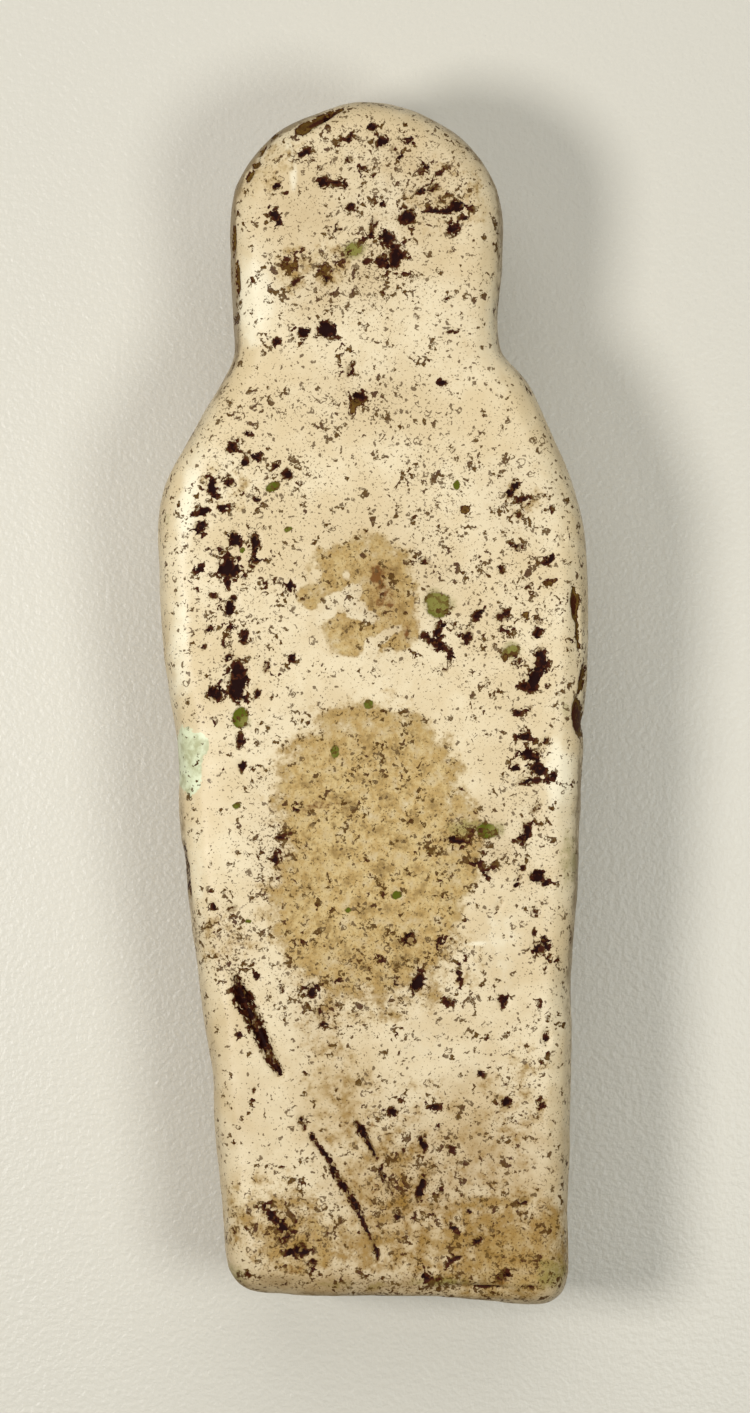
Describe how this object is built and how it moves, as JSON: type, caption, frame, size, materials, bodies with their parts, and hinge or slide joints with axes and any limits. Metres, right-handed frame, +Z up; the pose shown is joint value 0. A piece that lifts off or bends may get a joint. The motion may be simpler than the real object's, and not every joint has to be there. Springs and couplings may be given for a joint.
{
  "type": "ushabti figurine",
  "caption": "Flat-backed mummiform funerary figurine of pale glazed faience, moulded in one piece, lying face down.",
  "frame": {"origin": "middle of the bounding box in plan, on the surface that the figure lies on", "axes": "+Y from the feet to the crown, +Z up out of the flat back, +X to the right as the back is seen"},
  "size_m": [0.0394, 0.11, 0.024],
  "materials": {
    "glazed_faience": "worn cream-white glaze with brown pits, tan stains and remains of green"
  },
  "bodies": {
    "root": {"ushabti_figure": "glazed_faience"}
  },
  "joints": []
}
